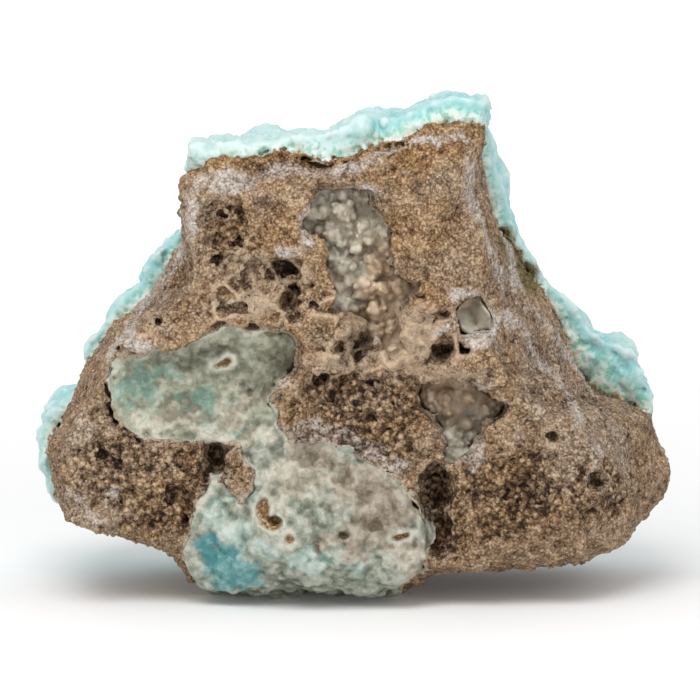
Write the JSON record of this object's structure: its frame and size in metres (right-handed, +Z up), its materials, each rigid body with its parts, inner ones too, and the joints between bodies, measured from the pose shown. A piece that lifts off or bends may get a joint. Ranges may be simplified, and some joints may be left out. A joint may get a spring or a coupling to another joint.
{
  "type": "aragonite specimen",
  "caption": "Rough block of brown spongy host rock under a rind of pale sky-blue aragonite, with hollows in its broken front lined by pale botryoidal aragonite.",
  "frame": {"origin": "on the ground, under the middle of the specimen's box", "axes": "+X to the right as seen from the broken front, +Y from the broken front to the rind on the back, +Z up"},
  "size_m": [0.1254, 0.071, 0.0976],
  "materials": {
    "host_rock": "rough, granular and spongy, dull",
    "blue_rind": "satin, slightly translucent, fibrous where broken",
    "pale_aragonite": "satin, softly lumpy, slightly translucent",
    "grey_green_aragonite": "satin, small round lumps",
    "grey_pink_aragonite": "satin, small round lumps"
  },
  "bodies": {
    "root": {"host_rock": "host_rock", "blue_rind": "blue_rind", "large_hollow_lining": "pale_aragonite", "upper_hollow_lining": "grey_green_aragonite", "right_hollow_lining": "grey_pink_aragonite", "small_pocket_lining": "grey_green_aragonite"}
  },
  "joints": []
}
